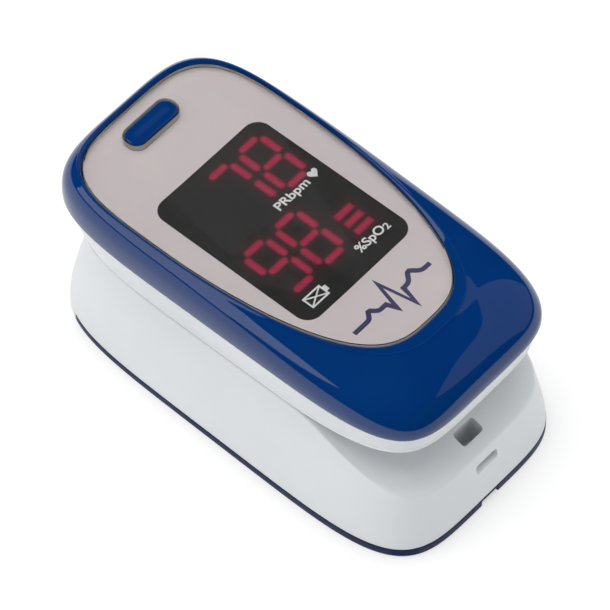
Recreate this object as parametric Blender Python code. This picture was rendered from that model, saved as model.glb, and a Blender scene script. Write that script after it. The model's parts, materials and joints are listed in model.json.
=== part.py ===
"""Fingertip pulse oximeter, built as an assembly of separate pieces.

Origin at the bottom centre, +Z up, +Y towards the end where the finger goes in. Sizes
are in millimetres and are turned into metres when a mesh is made. The upper half is
drawn square to its own display and then tilted as a whole about the hinge axis.
"""

import math

import bpy
from mathutils import Matrix, Vector

MM = 0.001
GAP = 0.3

# Case: half sizes of the outline at its widest, and of the narrow waist between the halves.
BASE = (16.1, 29.4)
WAIST = (13.35, 26.95)
COVER = (14.95, 28.7)
COVER_NOSE = 1.3  # how much further the cover reaches in front than behind
COVER_POWER = 5.0
BASE_POWER = 4.9

# Heights, measured at y = 0.
DOOR_THICKNESS = 1.45
DOOR_THINNING = 0.3
DOOR_FRONT = 24.6
WAIST_Z = 15.2
COVER_EDGE_Z = 22.3
RIDGE_Z = 27.75
LENS_TOP = 27.6
LENS_THICKNESS = 1.45
TILT = math.radians(2.7)

# Hinge between the halves, and the wedge behind it that is pinched to open them.
HINGE_Y = -11.5
HINGE_Z = 15.8
WEDGE_Y = -11.8
LEDGE_SLOPE = 0.34
RIM_SLOPE = 0.215
PIN_RADIUS = 0.8
LUG_RADIUS = 1.6

# Face plate and the ridge round it: widest at SHIELD_Y, full in front, pointed behind.
SHIELD_Y = 10.4
LENS = (12.8, 17.2, 30.1)
RIDGE = (13.2, 17.75, 32.1)

WINDOW = (9.1, 12.5)
WINDOW_Y = 3.05

BUTTON_Y = 24.0
BUTTON = (3.85, 1.42)
BUTTON_HOLE = (4.1, 1.67)
BUTTON_FLANGE = (4.7, 2.2)

WALL = 1.25
RING_POINTS = 48

# Two AAA cells side by side in the lower half.
CELL_RADIUS = 5.1
CELL_X = 5.25
CELL_Z = 6.6
CELL_ENDS = (-20.4, 23.7)

# Finger tunnel and its silicone pads.
TUNNEL_HALF = 7.6
TUNNEL_REAR = -6.5
PAD_FRONT = 24.5
ARCH_Z = 20.6
DECK_Z = 12.7
PAD = 0.75

BOARD_Z = (22.3, 23.1)
SCREWS = {
    "front_left": (-10.6, 17),
    "front_right": (10.6, 17),
    "rear_left": (-10.6, -5),
    "rear_right": (10.6, -5),
}


# --- Materials ---------------------------------------------------------------------


def material(name, colour, roughness, metallic=0.0, alpha=1.0):
    made = bpy.data.materials.new(name)
    made.use_nodes = True
    shader = made.node_tree.nodes["Principled BSDF"]
    shader.inputs["Base Color"].default_value = (*colour, 1.0)
    shader.inputs["Roughness"].default_value = roughness
    shader.inputs["Metallic"].default_value = metallic
    shader.inputs["Alpha"].default_value = alpha
    made.diffuse_color = (*colour, alpha)
    return made


# --- Outlines: each tells how far out a point lies, 1 being on the line --------------


def superellipse(half, power, nose=0.0):
    """A rounded oblong, which reaches further by nose towards +Y."""

    def reach(x, y):
        length = half[1] + (nose if y > 0 else 0.0)
        return abs(x / half[0]) ** power + abs(y / length) ** power

    return reach


def shield(sizes, grow=0.0):
    """The face plate's outline: square-shouldered in front, tapering to a round rear."""
    half, front, rear = (size + grow for size in sizes)

    def reach(x, y):
        if y > SHIELD_Y:
            return abs(x / half) ** 4 + abs((y - SHIELD_Y) / front) ** 4
        return abs(x / half) ** 3 + abs((y - SHIELD_Y) / rear) ** 2

    return reach


def directions(count=RING_POINTS):
    """Directions round the case, closer together at its corners."""
    found = []
    for i in range(count):
        angle = 2 * math.pi * i / count
        x = math.copysign(abs(math.cos(angle)) ** 0.62, math.cos(angle)) * BASE[0]
        y = math.copysign(abs(math.sin(angle)) ** 0.62, math.sin(angle)) * BASE[1]
        found.append(Vector((x, y)).normalized())
    return found


def ring(outline, z, slope=0.0, count=RING_POINTS):
    """Points where the directions cross the outline; slope lowers them towards +Y."""
    points = []
    for way in directions(count):
        near, far = 0.0, 80.0
        for _ in range(40):
            middle = (near + far) / 2
            if outline(way.x * middle, way.y * middle) < 1:
                near = middle
            else:
                far = middle
        points.append(Vector((way.x * near, way.y * near, z - slope * way.y * near)))
    return points


def mixed(first, second, part, z, inset=0.0):
    """A ring part of the way from one ring to another, at height z, drawn in by inset."""
    points = []
    for a, b in zip(first, second):
        flat = a.lerp(b, part).to_2d()
        flat *= 1 - inset / flat.length
        points.append(Vector((flat.x, flat.y, z)))
    return points


def rounded_rectangle(half_x, half_y, radius, z, centre=(0.0, 0.0), steps=5):
    points = []
    for corner in range(4):
        sign_x = (1, -1, -1, 1)[corner]
        sign_y = (1, 1, -1, -1)[corner]
        for step in range(steps + 1):
            angle = math.pi / 2 * (corner + step / steps)
            points.append(
                Vector(
                    (
                        centre[0] + sign_x * (half_x - radius) + radius * math.cos(angle),
                        centre[1] + sign_y * (half_y - radius) + radius * math.sin(angle),
                        z,
                    )
                )
            )
    return points


# --- Solids ------------------------------------------------------------------------


def solid(name, points, faces, finish=None):
    mesh = bpy.data.meshes.new(name)
    mesh.from_pydata([Vector(p) * MM for p in points], [], faces)
    if finish:
        mesh.materials.append(finish)
    mesh.shade_smooth()
    mesh.set_sharp_from_angle(angle=math.radians(35))
    thing = bpy.data.objects.new(name, mesh)
    bpy.context.scene.collection.objects.link(thing)
    return thing


def loft(name, rings, finish=None):
    """A closed solid through a stack of rings, each drawn anticlockwise, lowest first."""
    count = len(rings[0])
    points = [p for one in rings for p in one]
    faces = [list(range(count))[::-1]]
    for level in range(len(rings) - 1):
        for i in range(count):
            j = (i + 1) % count
            low, high = level * count, (level + 1) * count
            faces += [[low + i, low + j, high + j], [low + i, high + j, high + i]]
    top = (len(rings) - 1) * count
    faces.append(list(range(top, top + count)))
    return solid(name, points, faces, finish)


def box(name, low, high, finish=None):
    (x0, y0, z0), (x1, y1, z1) = low, high
    corners = [(x0, y0), (x1, y0), (x1, y1), (x0, y1)]
    return loft(name, [[(x, y, z) for x, y in corners] for z in (z0, z1)], finish)


def prism(name, profile, x0, x1, finish=None):
    """A profile of (y, z) points, anticlockwise seen from +X, drawn out along X."""
    rings = [[(x, y, z) for y, z in profile] for x in (x0, x1)]
    return loft(name, rings, finish)


def rod(name, stations, finish=None, sides=20, axis="z", centre=(0.0, 0.0)):
    """A turned piece: stations are (place along the axis, radius), lowest first."""
    rings = []
    for place, radius in stations:
        circle = []
        for i in range(sides):
            angle = 2 * math.pi * i / sides
            a = centre[0] + radius * math.cos(angle)
            b = centre[1] + radius * math.sin(angle)
            circle.append({"z": (a, b, place), "x": (place, a, b), "y": (b, place, a)}[axis])
        rings.append(circle)
    return loft(name, rings, finish)


def tube(name, path, radius, finish, sides=8):
    """A wire along a path of points, closed at both ends."""
    turns = [2 * math.pi * k / sides for k in range(sides)]
    rings = []
    for i, point in enumerate(path):
        ahead = Vector(path[min(i + 1, len(path) - 1)])
        along = (ahead - Vector(path[max(i - 1, 0)])).normalized()
        reference = Vector((0, 0, 1)) if abs(along.z) < 0.9 else Vector((1, 0, 0))
        side = along.cross(reference).normalized()
        over = along.cross(side)
        middle = Vector(point)
        rings.append([middle + radius * (side * math.cos(a) + over * math.sin(a)) for a in turns])
    return loft(name, rings, finish)


def boolean(target, tool, operation):
    """Applies a Boolean and removes the tool that it used."""
    change = target.modifiers.new(operation.lower(), "BOOLEAN")
    change.operation = operation
    change.solver = "EXACT"
    change.object = tool
    graph = bpy.context.evaluated_depsgraph_get()
    mesh = bpy.data.meshes.new_from_object(target.evaluated_get(graph))
    target.modifiers.clear()
    old, target.data = target.data, mesh
    name = old.name
    bpy.data.meshes.remove(old)
    mesh.name = name
    bpy.data.objects.remove(tool)
    mesh.shade_smooth()
    mesh.set_sharp_from_angle(angle=math.radians(35))
    return target


def cut(target, *tools):
    for tool in tools:
        boolean(target, tool, "DIFFERENCE")
    return target


def join(target, *tools):
    for tool in tools:
        boolean(target, tool, "UNION")
    return target


# --- Shapes that both halves share ----------------------------------------------------


def lower_plane(y):
    """Height of the lower half's top edge, half the parting gap below the waist."""
    return WAIST_Z - GAP / 2 - math.tan(TILT) * y


def ledge_z(y):
    """Height of the sloping ledge behind the hinge."""
    return lower_plane(WEDGE_Y) + LEDGE_SLOPE * (y - WEDGE_Y)


def rim_profile(lift):
    """Everything under the upper half's bottom, which sweeps up behind the hinge."""
    floor = WAIST_Z + GAP / 2 + lift
    rear = -36.0
    swept = floor + RIM_SLOPE * (WEDGE_Y - rear)
    return [(rear, -5), (36, -5), (36, floor), (WEDGE_Y, floor), (rear, swept)]


def trough(name, half, rise, depth, y0, y1, finish=None, sections=4, steps=10):
    """A shallow channel along Y, deepest in the middle, its edges under the parting line."""
    rings = []
    for section in range(sections):
        y = y0 + (y1 - y0) * section / (sections - 1)
        middle = DECK_Z + rise
        edge = max(lower_plane(y) - 0.35 + rise - PAD - GAP / 2, middle)
        tops = []
        for step in range(steps + 1):
            share = 2 * step / steps - 1
            tops.append((half * share, middle + (edge - middle) * share * share))
        loop = [(x, y, z) for x, z in tops] + [(x, y, z - depth) for x, z in reversed(tops)]
        rings.append(loop)
    return loft(name, rings, finish)


def arch_line(half, foot, top, steps=14):
    """Points of a full round-shouldered arch, from its right foot to its left foot."""
    points = []
    for step in range(steps + 1):
        angle = math.pi * step / steps
        x = half * math.copysign(abs(math.cos(angle)) ** 0.7, math.cos(angle))
        z = foot + (top - foot) * math.sin(angle) ** 0.7
        points.append((x, z))
    return points


def along_y(name, outline, y0, y1, finish=None):
    """An outline of (x, z) points, anticlockwise seen from -Y, drawn out along Y."""
    rings = [[(x, y, z) for x, z in reversed(outline)] for y in (y0, y1)]
    return loft(name, rings, finish)


# --- Lower half ----------------------------------------------------------------------


def lower_shape(name, inset, bottom=0.0, finish=None):
    """The lower half's tapering outside, drawn in by inset, with its lowest ring at bottom."""
    slope = math.tan(TILT)
    levels = (
        (bottom, 0.2, 0),
        (1.4, 0.0, 0),
        (4.0, 0.25, 0),
        (8.0, 1.05, 0.1),
        (10.3, 1.55, 0.35),
        (12.6, 2.15, 0.7),
        (14.2, 2.55, 0.9),
        (WAIST_Z - GAP / 2, BASE[0] - WAIST[0], 1.0),
    )
    rings = []
    for z, narrower, tilted in levels:
        half = (BASE[0] - narrower - inset, BASE[1] - 0.78 * narrower - inset)
        rings.append(ring(superellipse(half, BASE_POWER), z, slope * tilted))
    return loft(name, rings, finish)


def door_top(y, extra=0.0):
    """The door's side band is tallest at the rear and thins towards the front."""
    share = (y + BASE[1]) / (DOOR_FRONT + BASE[1])
    return DOOR_THICKNESS - DOOR_THINNING * share + extra


def hollow_bay(case):
    """The battery bay, open at the bottom, with its roof following the ledge at the rear."""
    rear = -36.0
    roof = DECK_Z - 0.7
    thick = 1.0
    meet_y = WEDGE_Y + (roof - ledge_z(WEDGE_Y) + thick) / LEDGE_SLOPE
    over = [(rear, ledge_z(rear) - thick), (meet_y, roof), (40, roof), (40, 40), (rear, 40)]
    bay = lower_shape("bay", WALL, bottom=-3.0)
    cut(bay, prism("over", over, -25, 25))
    cut(case, bay)


def fit_door(case):
    """Room for the door, and a front lip with a slot for the door's tongue."""
    clear_y = DOOR_FRONT + 0.2
    clear_z = 0.2
    below = [
        (-40, -4),
        (clear_y, -4),
        (clear_y, door_top(clear_y, clear_z)),
        (-40, door_top(-40, clear_z)),
    ]
    cut(case, prism("door_space", below, -20, 20))
    rings = []
    for inset, z in ((0.6, 0.0), (0.35, 1.9)):
        rings.append(ring(superellipse((BASE[0] - inset, BASE[1] - inset), BASE_POWER), z))
    lip = loft("lip", rings)
    cut(lip, box("lip_rear", (-20, -40, -2), (20, clear_y, 5)))
    join(case, lip)
    cut(case, box("tongue_slot", (-6.3, DOOR_FRONT - 1, 0.35), (6.3, DOOR_FRONT + 1.6, 1.35)))


def add_hinge_ears(case):
    """Two ears that carry the hinge pin, standing in a recess."""
    cut(case, box("hinge_recess", (-12.0, -14.2, 13.4), (12.0, -8.8, 20.0)))
    axis = (HINGE_Y, HINGE_Z)
    for side in (-1, 1):
        inner, outer = sorted((side * 8.2, side * 9.9))
        stations = [(inner, LUG_RADIUS), (outer, LUG_RADIUS)]
        ear = rod("ear", stations, axis="x", centre=axis, sides=24)
        low = (inner, HINGE_Y - LUG_RADIUS, 12.8)
        high = (outer, HINGE_Y + LUG_RADIUS, HINGE_Z - 0.05)
        join(case, join(ear, box("foot", low, high)))
    bore = PIN_RADIUS + 0.2
    cut(case, rod("pin_bore", [(-10.1, bore), (10.1, bore)], axis="x", centre=axis, sides=24))


def add_lanyard_anchor(case):
    """A block under the ledge with a pocket from above that meets a slot from the rear."""
    front, rear, foot, skin = -24.3, -28.0, 5.2, 0.6
    block = [(rear, foot), (front, foot), (front, ledge_z(front) - skin), (rear, ledge_z(rear) - skin)]
    join(case, prism("anchor", block, -2.45, 2.45))
    pocket = [rounded_rectangle(1.75, 1.0, 0.45, z, (0, -25.6)) for z in (6.0, 14.0)]
    cut(case, loft("lanyard_hole", pocket))
    slot = [(p.x, p.y + 7.55) for p in rounded_rectangle(1.85, 0.85, 0.4, 0)]
    cut(case, along_y("lanyard_slot", slot, -31, -26.5))


def make_lower_case(finish):
    case = lower_shape("lower_case", 0.0, finish=finish)
    rear = -36.0
    wedge = [(rear, ledge_z(rear)), (WEDGE_Y, ledge_z(WEDGE_Y)), (WEDGE_Y, 30), (rear, 30)]
    cut(case, prism("wedge", wedge, -20, 20))
    hollow_bay(case)
    fit_door(case)
    cut(case, trough("channel", TUNNEL_HALF, 12.0, 12.0, TUNNEL_REAR, 40.0))
    add_hinge_ears(case)
    cut(case, box("light_hole", (-1.9, 8.1, 11.0), (1.9, 11.9, 14.0)))
    cut(case, box("ribbon_slot", (-2.6, -10.9, 11.0), (2.6, -8.4, 14.0)))
    add_lanyard_anchor(case)
    return case


def make_battery_door(finish):
    rings = []
    for z, inset in ((0.0, 0.35), (0.35, 0.05), (0.8, 0.0), (2.0, 0.0)):
        rings.append(ring(superellipse((BASE[0] - inset, BASE[1] - inset), BASE_POWER), z))
    door = loft("battery_door", rings, finish)
    above = [(-40, door_top(-40)), (40, door_top(40)), (40, 6), (-40, 6)]
    cut(door, prism("above", above, -20, 20))
    cut(door, box("front_cut", (-20, DOOR_FRONT, -2), (20, 40, 5)))
    join(door, box("tongue", (-6, DOOR_FRONT - 1, 0.45), (6, DOOR_FRONT + 1.3, 0.74)))
    # Thumb notch in the rear edge, and grip grooves across the underside.
    notch = [rounded_rectangle(1.5, 0.9, 0.5, z, (0, -BASE[1])) for z in (-1, 1.1)]
    cut(door, loft("notch", notch))
    for i in range(5):
        y = -22.0 + 1.6 * i
        groove = [(y - 0.4, -1), (y + 0.4, -1), (y + 0.4, 0.001), (y, 0.35), (y - 0.4, 0.001)]
        cut(door, prism("groove", groove, -6.5, 6.5))
    return door


def make_battery_tray(finish):
    """The frame round the cells that carries their contacts."""
    outline = superellipse((13.2, 26.8), BASE_POWER)
    tray = loft("battery_tray", [ring(outline, z) for z in (2.4, 9.0)], finish)
    outline = superellipse((12.3, 26.2), BASE_POWER)
    inside = loft("inside", [ring(outline, z) for z in (1.0, 11.0)])
    cut(inside, box("rear_part", (-20, -40, 0), (20, -23.2, 20)))
    return cut(tray, box("rear_cut", (-20, -40, 0), (20, -24.0, 20)), inside)


def make_cell(name, side, finish):
    """An AAA cell: can, rolled shoulder and the small raised terminal."""
    rear, front = CELL_ENDS
    nub, neck = 1.9, 0.8
    stations = [
        (rear + 0.0, CELL_RADIUS - 0.7),
        (rear + 0.4, CELL_RADIUS - 0.1),
        (rear + 0.8, CELL_RADIUS),
        (front - neck - 0.6, CELL_RADIUS),
        (front - neck, CELL_RADIUS - 0.5),
        (front - neck + 0.01, nub),
        (front - 0.15, nub),
        (front, nub - 0.2),
    ]
    if side > 0:
        stations = [(rear + front - place, radius) for place, radius in reversed(stations)]
    return rod(name, stations, finish, sides=28, axis="y", centre=(CELL_Z, side * CELL_X))


def make_cell_spring(name, side, finish):
    """A cone-shaped coil against the flat end of the cell."""
    rear, front = CELL_ENDS
    start, end = (rear - 2.1, rear - 0.35) if side < 0 else (front + 1.15, front + 0.35)
    turns, per_turn, wire = 3.0, 14, 0.24
    count = int(turns * per_turn)
    path = []
    for i in range(count + 1):
        share = i / count
        angle = 2 * math.pi * turns * share
        radius = 3.0 - 1.3 * share
        x = side * CELL_X + radius * math.cos(angle)
        path.append((x, start + (end - start) * share, CELL_Z + radius * math.sin(angle)))
    return tube(name, path, wire, finish, sides=6)


def make_contact(name, x_range, y_range, finish):
    """A thin upright plate across the end of a cell."""
    low = (x_range[0], y_range[0], CELL_Z - 3.6)
    high = (x_range[1], y_range[1], CELL_Z + 2.2)
    return box(name, low, high, finish)


def make_torsion_spring(name, side, finish):
    """A coil round the hinge pin whose two legs hold the rear of the halves apart."""
    radius, wire, turns, per_turn = 1.4, 0.25, 4.25, 16
    x0, x1 = side * 3.4, side * 6.6
    count = int(turns * per_turn)
    path = [(x0, -13.8, HINGE_Z - radius - 0.15)]
    for i in range(count + 1):
        angle = -math.pi / 2 + 2 * math.pi * turns * i / count
        x = x0 + (x1 - x0) * i / count
        path.append((x, HINGE_Y + radius * math.cos(angle), HINGE_Z + radius * math.sin(angle)))
    last = path[-1]
    path.append((x1, last[1] - 0.2, last[2] + 1.0))
    path.append((x1, last[1] - 1.2, last[2] + 2.2))
    return tube(name, path, wire, finish, sides=6)


def make_flex_cable(finish):
    """The ribbon from the sensor under the finger, past the hinge, to the main board."""
    half, thick = 2.0, 0.24
    path = [(5.6, 11.42), (-7.6, 11.42)]
    bend = 2.4
    for step in range(1, 7):
        angle = math.pi / 2 * step / 6
        path.append((-7.6 - bend * math.sin(angle), 11.42 + bend * (1 - math.cos(angle))))
    path += [(-10.0, 15.5), (-10.0, 17.5), (-10.0, 20.5)]
    left, right = [], []
    for i, (y, z) in enumerate(path):
        y_next, z_next = path[min(i + 1, len(path) - 1)]
        y_last, z_last = path[max(i - 1, 0)]
        along = Vector((y_next - y_last, z_next - z_last)).normalized()
        left.append((y - along.y * thick / 2, z + along.x * thick / 2))
        right.append((y + along.y * thick / 2, z - along.x * thick / 2))
    return prism("flex_cable", right + left[::-1], -half, half, finish)


def make_contacts(steel):
    """The plate that bridges both cells in front, and the two separate ones behind."""
    rear, front = CELL_ENDS
    bridge = make_contact("battery_contact_front", (-6.0, 6.0), (front + 1.6, front + 1.75), steel)
    dimple = [(front + 0.3, 1.2), (front + 1.65, 2.2)]
    join(bridge, rod("dimple", dimple, sides=16, axis="y", centre=(CELL_Z, -CELL_X)))
    make_contact("battery_contact_left", (-8.6, -2.2), (rear - 2.68, rear - 2.48), steel)
    make_contact("battery_contact_right", (2.2, 8.6), (rear - 0.5, rear - 0.25), steel)


def make_sensor(paint):
    """The light sensor under the finger and the silicone pad round it."""
    box("sensor_board", (-2.5, 6.0, 11.1), (2.5, 14.0, 11.6), paint["circuit_board"])
    box("photodiode", (-1.5, 8.5, 11.75), (1.5, 11.5, 12.5), paint["black_plastic"])
    box("photodiode_window", (-2.3, 7.7, 12.8), (2.3, 12.3, 13.45), paint["clear_plastic"])
    half = TUNNEL_HALF - GAP
    ends = (TUNNEL_REAR + GAP, PAD_FRONT)
    pad = trough("lower_pad", half, GAP / 2 + PAD, PAD, *ends, paint["silicone"])
    cut(pad, box("pad_window", (-2.6, 7.4, 10), (2.6, 12.6, 16)))


def make_hinge_pin(finish):
    stations = [(-11.95, 0.6), (-11.75, PIN_RADIUS), (11.75, PIN_RADIUS), (11.95, 0.6)]
    rod("hinge_pin", stations, finish, axis="x", centre=(HINGE_Y, HINGE_Z))


def make_lower_half(paint):
    make_lower_case(paint["white_plastic"])
    make_battery_tray(paint["white_plastic"])
    for side, word in ((-1, "left"), (1, "right")):
        make_cell(f"battery_{word}", side, paint["battery"])
        make_cell_spring(f"battery_spring_{word}", side, paint["spring_steel"])
        make_torsion_spring(f"torsion_spring_{word}", side, paint["spring_steel"])
    make_contacts(paint["spring_steel"])
    make_sensor(paint)
    make_hinge_pin(paint["spring_steel"])
    make_flex_cable(paint["flex_film"])


# --- Upper half, drawn square to its display ------------------------------------------

# Height of the hinge axis in the upper half's own frame.
HINGE_HEIGHT = HINGE_Z + math.sin(TILT) * HINGE_Y


def upper_levels(inset):
    """The white upper case's outside: flaring from the waist to the cover's edge."""
    levels = (
        (WAIST_Z + GAP / 2, 13.4, 27.0, 0.8),
        (17.2, 13.8, 27.45, 1.1),
        (19.6, 14.25, 27.95, 1.25),
        (COVER_EDGE_Z - GAP, 14.6, 28.3, COVER_NOSE),
    )
    rings = []
    for z, x, y, nose in levels:
        rings.append(ring(superellipse((x - inset, y - inset), COVER_POWER, nose), z))
    return rings


def hollow_upper(case):
    """The room for the electronics, over a floor and the shell of the finger tunnel."""
    rings = upper_levels(WALL)[:3]
    inner = superellipse((12.5, 26.2), COVER_POWER, COVER_NOSE)
    rings += [ring(inner, COVER_EDGE_Z - WALL), ring(inner, COVER_EDGE_Z + 3)]
    hollow = loft("hollow", rings)
    cut(hollow, prism("floor", rim_profile(1.25), -20, 20))
    block = arch_line(8.6, WAIST_Z + 0.3, ARCH_Z + 0.7)
    cut(hollow, along_y("arch_block", block, TUNNEL_REAR - 1.4, 40))
    cut(case, hollow)


def add_hinge_lugs(case):
    """A slot for the ears and springs, with a lug outside it at each end of the pin."""
    cut(case, box("hinge_slot", (-10.2, -14.5, 10), (10.2, -8.6, 18.6)))
    axis = (HINGE_Y, HINGE_HEIGHT)
    for side in (-1, 1):
        inner, outer = sorted((side * 10.3, side * 11.9))
        stations = [(inner, LUG_RADIUS), (outer, LUG_RADIUS)]
        join(case, rod("lug", stations, axis="x", centre=axis, sides=24))
    bore = PIN_RADIUS + 0.2
    cut(case, rod("pin_bore", [(-12.2, bore), (12.2, bore)], axis="x", centre=axis, sides=24))


def make_upper_case(finish):
    rings = upper_levels(0.0)
    collar = superellipse((13.3, 26.95), COVER_POWER, COVER_NOSE)
    rings += [ring(collar, COVER_EDGE_Z - GAP + 0.001), ring(collar, COVER_EDGE_Z + 0.8)]
    case = loft("upper_case", rings, finish)
    cut(case, prism("under", rim_profile(0.0), -20, 20))
    hollow_upper(case)
    arch = arch_line(TUNNEL_HALF, WAIST_Z + 0.4, ARCH_Z)
    tunnel = [(TUNNEL_HALF, WAIST_Z - 4)] + arch + [(-TUNNEL_HALF, WAIST_Z - 4)]
    cut(case, along_y("tunnel", tunnel, TUNNEL_REAR, 40))
    add_hinge_lugs(case)
    hole = [(14, 1.5), (16.1, 1.5), (16.11, 0.95), (17.5, 0.95)]
    for place in SCREWS.values():
        cut(case, rod("screw_hole", hole, centre=place, sides=16))
    cut(case, box("light_hole", (-2.0, 8, 19), (2.0, 12, 22)))
    return case


def cover_rings():
    """The glossy cover: an upright band at its edge, then a crowned slope to the ridge."""
    edge = ring(superellipse(COVER, COVER_POWER, COVER_NOSE), COVER_EDGE_Z)
    crest = ring(shield(RIDGE), RIDGE_Z)
    band = 1.2
    rings = [edge, [p + Vector((0, 0, band)) for p in edge]]
    rise = RIDGE_Z - COVER_EDGE_Z - band
    for inward, upward in ((0.05, 0.2), (0.14, 0.4), (0.3, 0.6), (0.52, 0.79), (0.76, 0.93)):
        rings.append(mixed(edge, crest, inward, COVER_EDGE_Z + band + rise * upward))
    rings.append(crest)
    return rings


def button_outline(half, z):
    """An oblong round the button's centre, with ends that are nearly half circles."""
    half_x, half_y = half
    return rounded_rectangle(half_x, half_y, half_y - 0.14, z, (0, BUTTON_Y))


def hollow_cover(cover, rings, underside):
    """The inside of the cover, with a boss for each screw."""
    skirt = superellipse((COVER[0] - 1.35, COVER[1] - 1.45), COVER_POWER, COVER_NOSE)
    hollow = [ring(skirt, COVER_EDGE_Z - 2), ring(skirt, COVER_EDGE_Z + 0.9)]
    hollow.append(mixed(rings[0], rings[-1], 0.2, COVER_EDGE_Z + 1.8, 1.4))
    hollow.append(mixed(rings[0], rings[-1], 0.42, underside, 1.5))
    cut(cover, loft("inside", hollow))
    for place in SCREWS.values():
        boss = [(WAIST_Z + 1.7, 1.15), (underside + 0.4, 1.15)]
        bore = [(WAIST_Z, 0.85), (WAIST_Z + 5.2, 0.85)]
        join(cover, rod("boss", boss, centre=place, sides=18))
        cut(cover, rod("boss_hole", bore, centre=place, sides=14))


def make_top_cover(finish):
    rings = cover_rings()
    cover = loft("top_cover", rings, finish)
    seat = LENS_TOP - LENS_THICKNESS - 0.15
    hollow_cover(cover, rings, seat - 0.8)
    opening = (WINDOW[0] + 0.3, WINDOW[1] + 0.3)
    display = [rounded_rectangle(*opening, 1.0, z, (0, WINDOW_Y)) for z in (24, 30)]
    key = [button_outline(BUTTON_HOLE, z) for z in (24, 30)]
    cut(
        cover,
        loft("lens_seat", [ring(shield(LENS, 0.25), z) for z in (seat, 31)]),
        loft("display_opening", display),
        loft("button_opening", key),
    )
    return cover


def make_lens(finish):
    low = LENS_TOP - LENS_THICKNESS
    rings = [
        ring(shield(LENS), low),
        ring(shield(LENS), LENS_TOP - 0.2),
        ring(shield(LENS, -0.2), LENS_TOP),
    ]
    lens = loft("face_lens", rings, finish)
    return cut(lens, loft("button_hole", [button_outline(BUTTON_HOLE, z) for z in (20, 30)]))


def make_button(finish):
    """The key cap with its crowned top, and the flange that keeps it in the cover."""
    half_x, half_y = BUTTON
    cap = []
    for rise, inset in ((-2.65, 0.0), (-0.1, 0.0), (0.12, 0.12), (0.25, 0.45)):
        cap.append(button_outline((half_x - inset, half_y - inset), LENS_TOP + rise))
    button = loft("power_button", cap, finish)
    flange = [button_outline(BUTTON_FLANGE, z) for z in (24.65, 25.0)]
    return join(button, loft("flange", flange))


def make_screw(name, place, finish):
    """A small pan-head screw that comes up from below into the cover's boss."""
    low = WAIST_Z + 0.25
    profile = ((0.0, 1.0), (0.15, 1.3), (0.55, 1.3), (0.56, 0.7), (4.2, 0.7), (4.6, 0.3))
    stations = [(low + rise, radius) for rise, radius in profile]
    screw = rod(name, stations, finish, sides=16, centre=place)
    x, y = place
    cut(
        screw,
        box("slot_a", (x - 0.75, y - 0.14, low - 1), (x + 0.75, y + 0.14, low + 0.3)),
        box("slot_b", (x - 0.14, y - 0.75, low - 1), (x + 0.14, y + 0.75, low + 0.3)),
    )
    return screw


def make_upper_pad(finish):
    """The silicone lining of the upper half, an arch with a window over the nail."""
    outside = arch_line(TUNNEL_HALF - GAP / 2, WAIST_Z + 0.4, ARCH_Z - GAP / 2)
    inside = arch_line(TUNNEL_HALF - GAP / 2 - PAD, WAIST_Z + 0.4, ARCH_Z - GAP / 2 - PAD)
    pad = along_y("upper_pad", outside + inside[::-1], TUNNEL_REAR + GAP, PAD_FRONT, finish)
    return cut(pad, box("pad_window", (-2.7, 7.3, 17), (2.7, 12.7, 23)))


def make_main_board(paint):
    """The main board and the parts soldered to it."""
    low, high = BOARD_Z
    black = paint["black_plastic"]
    board = [rounded_rectangle(9.1, 20.9, 3.0, z, (0, 4.5)) for z in (low, high)]
    loft("main_board", board, paint["circuit_board"])
    face = LENS_TOP - LENS_THICKNESS - 0.25
    module = [rounded_rectangle(*WINDOW, 0.8, z, (0, WINDOW_Y)) for z in (high + 0.15, face)]
    loft("display_module", module, black)
    chip = [rounded_rectangle(2.7, 2.7, 0.3, z, (0, -13.0)) for z in (high + 0.12, high + 1.0)]
    loft("microcontroller", chip, black)
    body = ((-2.0, BUTTON_Y - 1.45, high + 0.1), (2.0, BUTTON_Y + 1.25, 23.95))
    switch = box("tact_switch", *body, black)
    join(switch, rod("plunger", [(23.5, 0.7), (24.2, 0.7)], centre=(0, BUTTON_Y), sides=14))
    can = [(-2.6, 0.62), (2.6, 0.62)]
    rod("crystal", can, paint["spring_steel"], axis="x", centre=(18.6, high + 0.8), sides=14)
    box("flex_connector", (-3.3, -11.2, low - 1.5), (3.3, -8.9, low - 0.1), paint["white_plastic"])


def make_emitter(paint):
    """The light source over the finger."""
    box("emitter_board", (-3.4, 5.6, 21.55), (3.4, 14.4, 22.05), paint["circuit_board"])
    box("emitter_led", (-1.3, 8.7, 20.75), (1.3, 11.3, 21.45), paint["clear_plastic"])
    box("emitter_window", (-2.4, 7.6, 19.75), (2.4, 12.4, 20.4), paint["clear_plastic"])


def make_upper_half(paint):
    make_upper_case(paint["white_plastic"])
    make_top_cover(paint["blue_gloss"])
    make_lens(paint["clear_plastic"])
    make_upper_pad(paint["silicone"])
    make_main_board(paint)
    make_emitter(paint)
    for word, place in SCREWS.items():
        make_screw(f"cover_screw_{word}", place, paint["spring_steel"])
    make_button(paint["blue_gloss"])


# --- Assembly ------------------------------------------------------------------------

UPPER = (
    "upper_case",
    "top_cover",
    "face_lens",
    "upper_pad",
    "main_board",
    "display_module",
    "microcontroller",
    "tact_switch",
    "crystal",
    "flex_connector",
    "emitter_board",
    "emitter_led",
    "emitter_window",
    "power_button",
    *(f"cover_screw_{word}" for word in SCREWS),
)


def axis_empty(name, place, tilt=0.0):
    empty = bpy.data.objects.new(name, None)
    empty.location = Vector(place) * MM
    empty.rotation_euler = (tilt, 0, 0)
    empty.empty_display_size = 0.01
    bpy.context.scene.collection.objects.link(empty)
    return empty


def hang_upper_half():
    """Parents the upper half to the hinge axis, which carries its tilt."""
    hinge = axis_empty("clip_hinge_axis", (0, HINGE_Y, HINGE_Z), -TILT)
    for name in UPPER:
        thing = bpy.data.objects[name]
        thing.data.transform(Matrix.Translation(Vector((0, -HINGE_Y, -HINGE_HEIGHT)) * MM))
        thing.parent = hinge


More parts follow.
